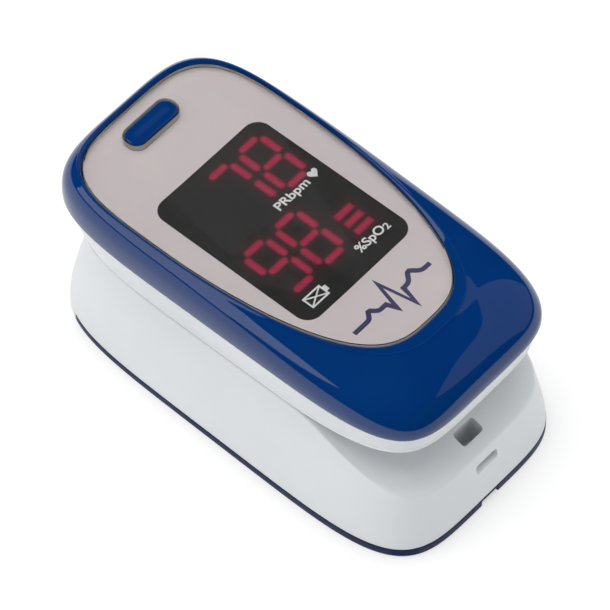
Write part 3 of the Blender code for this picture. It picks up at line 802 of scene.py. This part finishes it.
def upper_holes():
    """Cutters for the pin, the screws and the light source."""
    centre = (HINGE_Y, HINGE_HEIGHT)
    tools = [rod("pin_bore", [(-12.2, PIN_BORE), (12.2, PIN_BORE)], axis="x", centre=centre)]
    head, shank = 1.5, 0.95
    stations = [(14, head), (16.1, head), (16.11, shank), (17.5, shank)]
    for side in (-1, 1):
        for x, y in SCREWS:
            tools.append(rod("screw_hole", stations, centre=(side * x, y)))
    tools.append(box("light_hole", (-2.0, 8, 19), (2.0, 12, 22)))
    return tools


def make_upper_case(paint):
    case = loft("upper_shell", upper_rings(), paint["white"])
    hollow_upper(case)
    arch = arch_line(TUNNEL_HALF, WAIST_Z + 0.4, ARCH_Z)
    tunnel = [(TUNNEL_HALF, WAIST_Z - 4)] + arch + [(-TUNNEL_HALF, WAIST_Z - 4)]
    hinge_slot = box("hinge_slot", (-10.2, -14.5, 10), (10.2, -8.6, 18.6))
    cut(case, along_y("tunnel", tunnel, TUNNEL_REAR, 40), hinge_slot)
    add_hinge_lugs(case)
    cut(case, *upper_holes())
    finished(case, "upper", "white_plastic", "upper_case")


def mixed(first, second, part, z):
    """A level ring part of the way from one outline to another."""
    flat = first[:, :2] * (1 - part) + second[:, :2] * part
    return np.column_stack([flat, np.full(len(flat), z)])


def cover_ring(inset, z):
    """The cover's outline, drawn in by an inset."""
    return ring(oblong((COVER[0] - inset, COVER[1] - inset), COVER_POWER, COVER_NOSE), z)


def crown_rings(edge, crest):
    """From the cover's edge up its side and in over its crown to the ridge round the face."""
    band = 1.2
    rise = RIDGE_Z - COVER_EDGE_Z - band
    shares = np.array([0, 0, 0.02, 0.06, 0.14, 0.3, 0.52, 0.76, 0.9, 1.0])
    climbs = np.array([0, 0, 0, 0.22, 0.42, 0.62, 0.78, 0.89, 0.935, 0.99])
    lifts = band * np.array([0, 0.75, 1.2, 1, 1, 1, 1, 1, 1, 1]) + climbs * rise
    length = np.linspace(0, 1, len(shares))
    part_of = smooth_curve(length, shares, 0.08)
    lift_of = smooth_curve(length, lifts, 0.08)
    rings = []
    for t in np.linspace(0.045, 0.985, 34):
        rings.append(mixed(edge, crest, float(part_of(t)), COVER_EDGE_Z + float(lift_of(t))))
    return rings


def seat_rings():
    """Over the ridge, down the step to the face plate, and along the seat that it rests on."""
    rings = [ring(shield(RIDGE, 0.12), RIDGE_Z - 0.035), ring(shield(RIDGE), RIDGE_Z)]
    brow = ring(shield(RIDGE, -0.14), RIDGE_Z - 0.05)
    rings.append(brow)
    foot = ring(shield(LENS, 0.15), LENS_TOP - 0.3)
    first = mixed(brow, foot, 0.35, RIDGE_Z - 0.19)
    rings.append(first)
    for share in (0.7, 0.93):
        rings.append(mixed(first, foot, share, RIDGE_Z - 0.05 - 0.4 * share))
    seat = ((0.13, LENS_TOP - 0.5), (0.13, SEAT_Z), (-1.1, SEAT_Z), (-1.1, SEAT_Z - 0.8))
    return rings + [ring(shield(LENS, grow), z) for grow, z in seat]


def make_cover(paint):
    """The glossy cover as one closed skin: lip, side, crown, ridge, step, seat, underside."""
    edge = cover_ring(0.0, COVER_EDGE_Z)
    crest = ring(shield(RIDGE), RIDGE_Z)
    skirt = oblong((COVER[0] - 1.3, COVER[1] - 1.4), COVER_POWER, COVER_NOSE)
    lip = 0.18
    inner_lip = ring(skirt, COVER_EDGE_Z + 0.9)
    rings = [inner_lip, ring(skirt, COVER_EDGE_Z)]
    for inset, rise in ((lip, 0.0), (0.05, 0.05), (0.0, lip)):
        rings.append(cover_ring(inset, COVER_EDGE_Z + rise))
    rings += crown_rings(edge, crest) + seat_rings()
    rings.append(mixed(edge, crest, 0.4, SEAT_Z - 0.9))
    rings.append(mixed(inner_lip, crest, 0.2, COVER_EDGE_Z + 1.8))
    cover = loft("top_cover_skin", rings, paint["blue"], closed=True, angle=50)
    finished(cover, "upper", "blue_gloss", "top_cover")


def button_hole():
    """Cutter for the opening round the button."""
    return loft("button_hole", [button_outline(*BUTTON_HOLE, z) for z in (20, 30)])


def make_lens(paint):
    """The clear plate. Its cut edges, outside and round the button, are frosted."""
    levels = [(LENS_BACK, -0.1), (LENS_BACK + 0.1, 0.0)]
    levels += [(LENS_TOP - 0.2, 0.0), (LENS_TOP - 0.06, -0.05), (LENS_TOP, -0.18)]
    lens = loft("face_plate", [ring(shield(LENS, grow), z) for z, grow in levels], paint["acrylic"])
    cut(lens, button_hole())
    lens.data.materials.append(paint["frosted"])
    for face in lens.data.polygons:
        face.material_index = int(abs(face.normal.z) < 0.3)
    finished(lens, "upper", "clear_plastic", "face_lens")


# The read-out: each digit with its middle's place, and which of its segments are lit.
DIGIT_HALF = 1.8
DIGIT_RISE = 3.87
SEGMENT_HALF = 0.54
SEGMENT_GAP = 0.84
DIGITS = (("7", 0.24, 9.58), ("8", 5.4, 9.58), ("9", -5.19, -1.05), ("8", 0.08, -1.05))
LIT = {"7": "tbc", "8": "tmdbcef", "9": "tmdbcf"}
BARS = ((5.42, -1.65), (5.42, -3.2), (5.42, -4.72))
BAR_HALF = (1.46, 0.55)
PRINT = 0.015  # how thick the white print is


def digit_segments(shape, x, y):
    """The centre lines of a digit's lit segments, as pairs of ends."""
    half, rise, gap = DIGIT_HALF, DIGIT_RISE, SEGMENT_GAP
    across = {"t": rise, "m": 0.0, "d": -rise}
    up = {"f": (-half, 0, rise), "b": (half, 0, rise), "e": (-half, -rise, 0), "c": (half, -rise, 0)}
    lines = []
    for key in LIT[shape]:
        if key in across:
            lines.append(((x - half + gap, y + across[key]), (x + half - gap, y + across[key])))
        else:
            side, low, high = up[key]
            lines.append(((x + side, y + low + gap), (x + side, y + high - gap)))
    return lines


def glow_at(points):
    """How brightly the read-out shines at each point: segments, bars, and a soft halo."""
    nearest = np.full(len(points), 1e3)
    for shape, x, y in DIGITS:
        for start, end in digit_segments(shape, x, y):
            a, b = np.array(start), np.array(end)
            share = np.clip(((points - a) @ (b - a)) / ((b - a) @ (b - a)), 0, 1)
            beside = np.linalg.norm(points - a - share[:, None] * (b - a), axis=1)
            nearest = np.minimum(nearest, beside - SEGMENT_HALF)
    for x, y in BARS:
        out = np.abs(points - (x, y)) - BAR_HALF
        nearest = np.minimum(nearest, np.max(out, axis=1))
    core = 1 / (1 + np.exp((nearest + 0.02) / 0.12))
    halo = 0.4 * np.exp(-np.clip(nearest, 0, None) / 0.5)
    return np.clip(np.maximum(core, halo), 0, 1)


def window_points(columns, rows, radius=2.0):
    """A grid over the window whose corners are drawn in to a round."""
    xs = np.linspace(-WINDOW[0], WINDOW[0], columns)
    ys = np.linspace(-WINDOW[1], WINDOW[1], rows)
    grid = np.stack(np.meshgrid(xs, ys), -1).reshape(-1, 2)
    core = np.array(WINDOW) - radius
    over = np.clip(np.abs(grid) - core, 0, None)
    reach = np.linalg.norm(over, axis=1)
    shrink = np.where(reach > radius, radius / np.maximum(reach, 1e-9), 1.0)
    flat = np.sign(grid) * (np.minimum(np.abs(grid), core) + over * shrink[:, None])
    return flat + (0.0, WINDOW_Y)


def sheet_faces(columns, rows):
    """Faces of a thin sheet: a grid of upper points, the same grid below, and the rim between."""
    count = columns * rows
    faces = []
    for j in range(rows - 1):
        for i in range(columns - 1):
            k = j * columns + i
            quad = (k, k + 1, k + 1 + columns, k + columns)
            faces.append(quad)
            faces.append(tuple(count + corner for corner in (quad[0], quad[3], quad[2], quad[1])))
    border = list(range(columns))
    border += [j * columns + columns - 1 for j in range(1, rows)]
    border += [(rows - 1) * columns + i for i in range(columns - 2, -1, -1)]
    border += [j * columns for j in range(rows - 2, 0, -1)]
    for a, b in zip(border, border[1:] + border[:1]):
        faces.append((b, a, count + a, count + b))
    return faces


def make_window_face(paint):
    """The display window as a fine sheet with rounded corners and its glow as a point value."""
    columns, rows = 170, 232
    flat = window_points(columns, rows)
    levels = (SEAT_Z + 0.09, SEAT_Z + 0.03)
    points = np.concatenate([np.column_stack([flat, np.full(len(flat), z)]) for z in levels])
    face = solid("display_face", points, sheet_faces(columns, rows), paint["window"])
    glow = face.data.attributes.new("glow", "FLOAT", "POINT")
    glow.data.foreach_set("value", glow_at(np.concatenate([flat, flat])).astype(np.float32))
    finished_print(face)


def text_piece(name, words, low_left, size, z, paint):
    """Lettering as a thin plate, scaled to its width and height."""
    curve = bpy.data.curves.new(name, "FONT")
    curve.body = words
    curve.extrude = 0.006
    curve.offset = 0.022
    thing = added(name, curve)
    mesh = mesh_seen(thing)
    bpy.data.objects.remove(thing)
    co = np.array([v.co for v in mesh.vertices])
    low, high = co.min(0), co.max(0)
    flat = (co[:, :2] - low[:2]) * (np.array(size) / (high - low)[:2]) + low_left
    lifted = z + (co[:, 2] - low[2]) / (high[2] - low[2]) * PRINT
    mesh.vertices.foreach_set("co", (np.column_stack([flat, lifted]) * MM).astype(np.float32).ravel())
    mesh.materials.clear()
    mesh.materials.append(paint)
    finished_print(added(name, mesh))


def plate(name, outline, z, thick, paint):
    """A thin flat shape, from an outline drawn anticlockwise."""
    return loft(name, [[(x, y, level) for x, y in outline] for level in (z, z + thick)], paint)


def stroke(points, width):
    """The outline of a line of this width through the points, with mitred corners."""
    points = [Vector(p) for p in points]
    left, right = [], []
    for i, point in enumerate(points):
        before = (point - points[i - 1]).normalized() if i else (points[1] - point).normalized()
        after = (points[i + 1] - point).normalized() if i + 1 < len(points) else before
        across = (Vector((-before.y, before.x)) + Vector((-after.y, after.x))).normalized()
        reach = width / 2 / max(0.35, across.dot(Vector((-before.y, before.x))))
        left.append(point + across * reach)
        right.append(point - across * reach)
    return [tuple(p) for p in right] + [tuple(p) for p in reversed(left)]


def heart_outline(centre, size):
    points = []
    for i in range(40):
        a = 2 * math.pi * i / 40
        x = 16 * math.sin(a) ** 3
        y = 13 * math.cos(a) - 5 * math.cos(2 * a) - 2 * math.cos(3 * a) - math.cos(4 * a)
        points.append((centre[0] - x * size[0], centre[1] + y * size[1]))
    return points


def make_battery_mark(z, paint):
    """A crossed-out battery symbol: a frame with a terminal, and two strokes over it."""
    left, low, right, high = -7.0, -8.15, -4.15, -6.35
    line, nub, tip = 0.22, 0.5, -3.7
    outer = [(left, low), (right, low), (right, low + nub), (tip, low + nub)]
    outer += [(tip, high - nub), (right, high - nub), (right, high), (left, high)]
    inner = [(left + line, low + line), (right - line, low + line)]
    inner += [(right - line, high - line), (left + line, high - line)]
    mark = plate("battery_mark", outer, z, PRINT, paint)
    cut(mark, plate("inside", inner, z - 1, 2, None))
    finished_print(mark)
    near, far, under, over = -6.75, -4.4, -7.9, -6.6
    strokes = {"a": ((near, under), (far, over)), "b": ((near, over), (far, under))}
    for (key, ends), lift in zip(strokes.items(), (0.0, 0.002)):
        cross = plate(f"battery_cross_{key}", stroke(ends, 0.19), z + lift, 0.013, paint)
        finished_print(cross)


def pulse_wave():
    """Points of a heartbeat trace: a small rise, a sharp spike and a broad rise."""
    spikes = {-1.2: 0.0, -0.7: -1.3, 0.3: 2.7, 1.25: -2.5, 1.8: 0.0}
    before, after = np.arange(-6.6, -1.2, 0.3), np.arange(2.2, 6.5, 0.3)
    points = []
    for x in [*before, *spikes, *after]:
        rises = 0.9 * math.exp(-(((x + 3.2) / 0.55) ** 2)) + 1.15 * math.exp(-(((x - 3.9) / 0.75) ** 2))
        points.append((float(x), -14.1 + rises + spikes.get(x, 0.0)))
    return points


def make_artwork(paint):
    """Everything printed behind the clear plate."""
    low, thick = SEAT_Z + 0.02, 0.05
    sheet = loft("printed_sheet", [ring(shield(LENS, -0.04), z) for z in (low, low + thick)], paint["silver"])
    cut(sheet, button_hole())
    finished_print(sheet)
    make_window_face(paint)
    level, white = SEAT_Z + 0.095, paint["white_ink"]
    text_piece("pulse_label", "PRbpm", (0.75, 3.7), (5.3, 1.6), level, white)
    text_piece("saturation_label", "%SpO", (2.3, -7.5), (4.4, 1.65), level, white)
    text_piece("saturation_digit", "2", (6.78, -7.25), (0.68, 0.95), level, white)
    heart = heart_outline((7.25, 4.85), (0.044, 0.047))
    finished_print(plate("heart_mark", heart, level, PRINT, white))
    make_battery_mark(level, white)
    wave = plate("pulse_line_mark", stroke(pulse_wave(), 0.62), low + thick + 0.005, 0.02, paint["navy_ink"])
    finished_print(wave)


def make_button(paint):
    """The button, with a rounded top edge and a flange that keeps it under the clear plate."""
    shoulder, round_high, round_in = 27.3, 0.32, 0.42
    levels = [(24.95, 0.0), (shoulder, 0.0)]
    for step in range(1, 7):
        angle = math.pi / 2 * step / 6
        levels.append((shoulder + round_high * math.sin(angle), round_in * (1 - math.cos(angle))))
    levels += [(27.7, 0.7), (27.76, 1.0), (27.78, 1.3)]
    half_x, half_y = BUTTON_TOP
    rings = [button_outline(half_x - inset, half_y - inset, z) for z, inset in levels]
    button = loft("power_key", rings, paint["blue"], angle=60)
    join(button, loft("flange", [button_outline(*BUTTON_FLANGE, z) for z in (24.65, 25.0)]))
    finished(button, "button", "blue_gloss", "power_button")


# --- Silicone pads ---

PAD_REAR = TUNNEL_REAR + GAP
PAD_RIM = 0.3
WINDOW_MIDDLE = 10.0
RIB_PITCH = 1.5
RIB_DEPTH = 0.14


def rounding(distance):
    """How far a rounded rim has dropped at this distance in from the edge."""
    left = min(max(1 - distance / PAD_RIM, 0), 1)
    return PAD_RIM * (1 - math.sqrt(1 - left * left))


def ribbing(y):
    """Depth of the grooves moulded across the pads, fading out round the light windows and in front."""
    beside = min(max(abs(y - WINDOW_MIDDLE) - 3.2, 0), 1)
    behind = min(max((PAD_FRONT - y - 0.6) / 0.8, 0), 1)
    turn = 2 * math.pi * (y - WINDOW_MIDDLE) / RIB_PITCH
    return RIB_DEPTH * beside * behind * (0.5 - 0.5 * math.cos(turn))


def pad_stations():
    """Places along Y, each with how far the pad's end has rounded off there."""
    places = np.linspace(PAD_REAR, PAD_FRONT, 220)
    return [(y, rounding(min(y - PAD_REAR, PAD_FRONT - y))) for y in places]


def light_window(half, low, high):
    """Cutter for the opening in a pad that the light passes through."""
    rings = [rounded_rectangle(half, half, 0.6, z, (0, WINDOW_MIDDLE)) for z in (low, high)]
    return loft("pad_window", rings)


def make_lower_pad(paint):
    """The pad under the finger: a shallow ribbed channel with rounded rims."""
    half, steps = TUNNEL_HALF - GAP, 32
    rings = []
    for y, drop in pad_stations():
        middle, edge = dish(y, GAP / 2 + PAD)
        above, below = [], []
        for share in np.linspace(-1, 1, steps + 1):
            z = middle + (edge - middle) * share * share
            side_drop = rounding(half * (1 - abs(share)))
            above.append((half * share, y, z - max(drop, side_drop) - ribbing(y) * (1 - share**4)))
            below.append((half * share, y, z - PAD))
        rings.append(above + below[::-1])
    pad = loft("lower_pad_skin", rings, paint["silicone"])
    cut(pad, light_window(2.6, 10, 16))
    finished(pad, "lower", "silicone", "lower_pad")


def make_upper_pad(paint):
    """The arched lining over the nail, ribbed inside, with its own light window."""
    half, foot, top = TUNNEL_HALF - GAP / 2, WAIST_Z + 0.4, ARCH_Z - GAP / 2
    outside = arch_line(half, foot, top)
    rings = []
    for y, drop in pad_stations():
        thin = PAD - drop - ribbing(y)
        inside = arch_line(half - thin, foot, top - thin)
        rings.append([(x, y, z) for x, z in inside + outside[::-1]])
    pad = loft("upper_pad_skin", rings, paint["silicone"])
    cut(pad, light_window(2.7, 17, 23))
    finished(pad, "upper", "silicone", "upper_pad")


# --- Pieces that cross the hinge ---


def bending(thing, start, end, slot, node):
    """Hides the CAD node that a piece stands for and bakes its placement; the two points are not used."""
    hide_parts(node)
    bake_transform(thing)


def make_spring(side, word, paint):
    """A torsion spring: one leg lies in the lower half and the other rises towards the upper."""
    radius, wire, turns = 1.4, 0.25, 4.25
    near, far = side * 3.4, side * 6.6
    count = int(turns * 40)
    path = [(near, -13.8, HINGE_Z - radius - 0.15)]
    for i in range(count + 1):
        angle = 2 * math.pi * turns * i / count - math.pi / 2
        x = near + (far - near) * i / count
        path.append((x, HINGE_Y + radius * math.cos(angle), HINGE_Z + radius * math.sin(angle)))
    y, z = path[-1][1:]
    path += [(far, y - 0.2, z + 1.0), (far, y - 1.2, z + 2.2)]
    spring = tube(f"hinge_spring_{word}", path, wire, paint["steel"])
    ends = ((near, HINGE_Y, HINGE_Z), (far, HINGE_Y, HINGE_Z))
    bending(spring, *ends, "spring_steel", f"torsion_spring_{word}")


def make_ribbon(paint):
    """The flex cable from the light sensor, past the hinge, to the main board."""
    half, thick, bend, level, rear, top = 2.0, 0.24, 2.4, 11.42, -10.0, 20.5
    path = [(y, level) for y in np.linspace(5.6, rear + bend, 20)]
    for step in range(1, 17):
        angle = math.pi / 2 * step / 16
        path.append((rear + bend * (1 - math.sin(angle)), level + bend * (1 - math.cos(angle))))
    path += [(rear, z) for z in np.linspace(level + bend, top, 20)[1:]]
    rings = []
    for i, (y, z) in enumerate(path):
        before, after = path[max(i - 1, 0)], path[min(i + 1, len(path) - 1)]
        along = Vector((after[0] - before[0], after[1] - before[1])).normalized()
        up_y, up_z = along.y * thick / 2, -along.x * thick / 2
        below = [(-half, y - up_y, z - up_z), (half, y - up_y, z - up_z)]
        rings.append(below + [(half, y + up_y, z + up_z), (-half, y + up_y, z + up_z)])
    ribbon = loft("flex_ribbon", rings, paint["film"])
    bending(ribbon, (0, rear, level + bend), (0, rear, top - 1.0), "flex_film", "flex_cable")


# --- Stage ---

CAMERA_AZIMUTH = math.radians(-47.551)
CAMERA_ELEVATION = math.radians(56.57)
CAMERA_ROLL = math.radians(-0.486)
CAMERA_DISTANCE = 0.589719
CAMERA_TARGET = Vector((-0.001514, -0.001283, 0.015))
CAMERA_LENS = 294.54
LIGHT_TARGET = Vector((0, 0, 0.015))


def make_camera():
    level = math.cos(CAMERA_ELEVATION)
    across, ahead = math.cos(CAMERA_AZIMUTH), math.sin(CAMERA_AZIMUTH)
    back = Vector((ahead * level, -across * level, math.sin(CAMERA_ELEVATION)))
    flat = Vector((across, ahead, 0))
    over = back.cross(flat)
    right = flat * math.cos(CAMERA_ROLL) + over * math.sin(CAMERA_ROLL)
    above = over * math.cos(CAMERA_ROLL) - flat * math.sin(CAMERA_ROLL)
    data = bpy.data.cameras.new("camera")
    data.lens = CAMERA_LENS
    data.sensor_width = 36.0
    data.clip_start = 0.01
    data.clip_end = 20.0
    camera = added("camera", data)
    turn = Matrix((right, above, back)).transposed().to_4x4()
    camera.matrix_world = Matrix.Translation(CAMERA_TARGET + back * CAMERA_DISTANCE) @ turn
    bpy.context.scene.camera = camera


def make_softbox(name, place_at, size, radiance, reflected=True):
    """A rectangular light aimed at the object, as bright as a surface of this radiance."""
    data = bpy.data.lights.new(name, "AREA")
    data.shape = "RECTANGLE"
    data.size, data.size_y = size
    data.energy = radiance * math.pi * size[0] * size[1]
    lamp = added(name, data)
    aim = LIGHT_TARGET - Vector(place_at)
    lamp.location = place_at
    lamp.rotation_euler = aim.to_track_quat("-Z", "Y").to_euler()
    lamp.visible_glossy = reflected


def make_floor():
    paint = material(
        "floor_white",
        (0.5, 0.5, 0.5),
        0.9,
        Specular_IOR_Level=0.0,
        Emission_Color=(1, 1, 1, 1),
        Emission_Strength=0.5,
    )
    vary_colour(paint, (0.495, 0.495, 0.495), (0.505, 0.505, 0.505), 4)
    size, drop = 2.5, 0.00002
    corners = [(-size, -size), (size, -size), (size, size), (-size, size)]
    mesh = mesh_from("floor", [(x, y, -drop) for x, y in corners], [(0, 1, 2, 3)])
    mesh.materials.append(paint)
    added("floor", mesh)


def make_world():
    """An even pale surround that lights the object but doesn't show in its gloss."""
    world = bpy.data.worlds.new("studio")
    world.use_nodes = True
    background = world.node_tree.nodes["Background"]
    background.inputs["Color"].default_value = (1.0, 1.0, 1.0, 1)
    background.inputs["Strength"].default_value = 0.38
    world.cycles_visibility.glossy = False
    bpy.context.scene.world = world


def make_stage():
    make_floor()
    make_world()
    make_softbox("key_box", (-0.43, 0.36, 0.27), (0.42, 0.42), 1.7)
    make_softbox("top_fill", (-0.05, 0.05, 0.96), (0.8, 0.8), 3.8, reflected=False)
    make_softbox("right_box", (0.6, -0.3, 0.48), (0.85, 0.8), 0.4)
    make_softbox("mirror_box", (0.325, 0.36, 0.637), (0.3, 0.3), 0.15)
    bpy.context.scene.view_settings.view_transform = "Standard"


# --- Assembly ---


SLOT_PAINT = {
    "blue_gloss": "blue",
    "navy_plastic": "navy",
    "white_plastic": "white",
    "clear_plastic": "acrylic",
    "silicone": "silicone",
    "black_plastic": "black",
    "circuit_board": "board",
    "spring_steel": "steel",
    "battery": "cell",
    "flex_film": "film",
}


def paint_nodes(paint):
    """CAD nodes that stay in view get a finished material by their record slot."""
    for part in frame["record"]["subparts"]:
        node = frame["nodes"][part["node"]]
        if node.hide_render:
            continue
        node.data.materials.clear()
        node.data.materials.append(paint[SLOT_PAINT[part["material_slot"]]])


def make_paints():
    return {
        "white": make_white(),
        "blue": make_blue(),
        "navy": make_navy(),
        "acrylic": make_acrylic(),
        "frosted": make_frosted(),
        "silver": make_silver_print(),
        "window": make_window(),
        "silicone": make_silicone(),
        "steel": make_steel(),
        "board": make_board(),
        "black": make_black(),
        "film": make_film(),
        "cell": make_cell_sleeve(),
        "white_ink": make_ink("white_ink", (0.8, 0.8, 0.8)),
        "navy_ink": make_ink("navy_ink", (0.02, 0.02, 0.11)),
    }


def main():
    paint = make_paints()
    make_lower_case(paint)
    for side, word in SIDES:
        make_hinge_ear(side, word, paint)
    make_door(paint)
    make_upper_case(paint)
    make_cover(paint)
    make_lens(paint)
    make_artwork(paint)
    make_button(paint)
    make_lower_pad(paint)
    make_upper_pad(paint)
    for side, word in SIDES:
        make_spring(side, word, paint)
    make_ribbon(paint)
    paint_nodes(paint)
    make_stage()
    make_camera()


main()
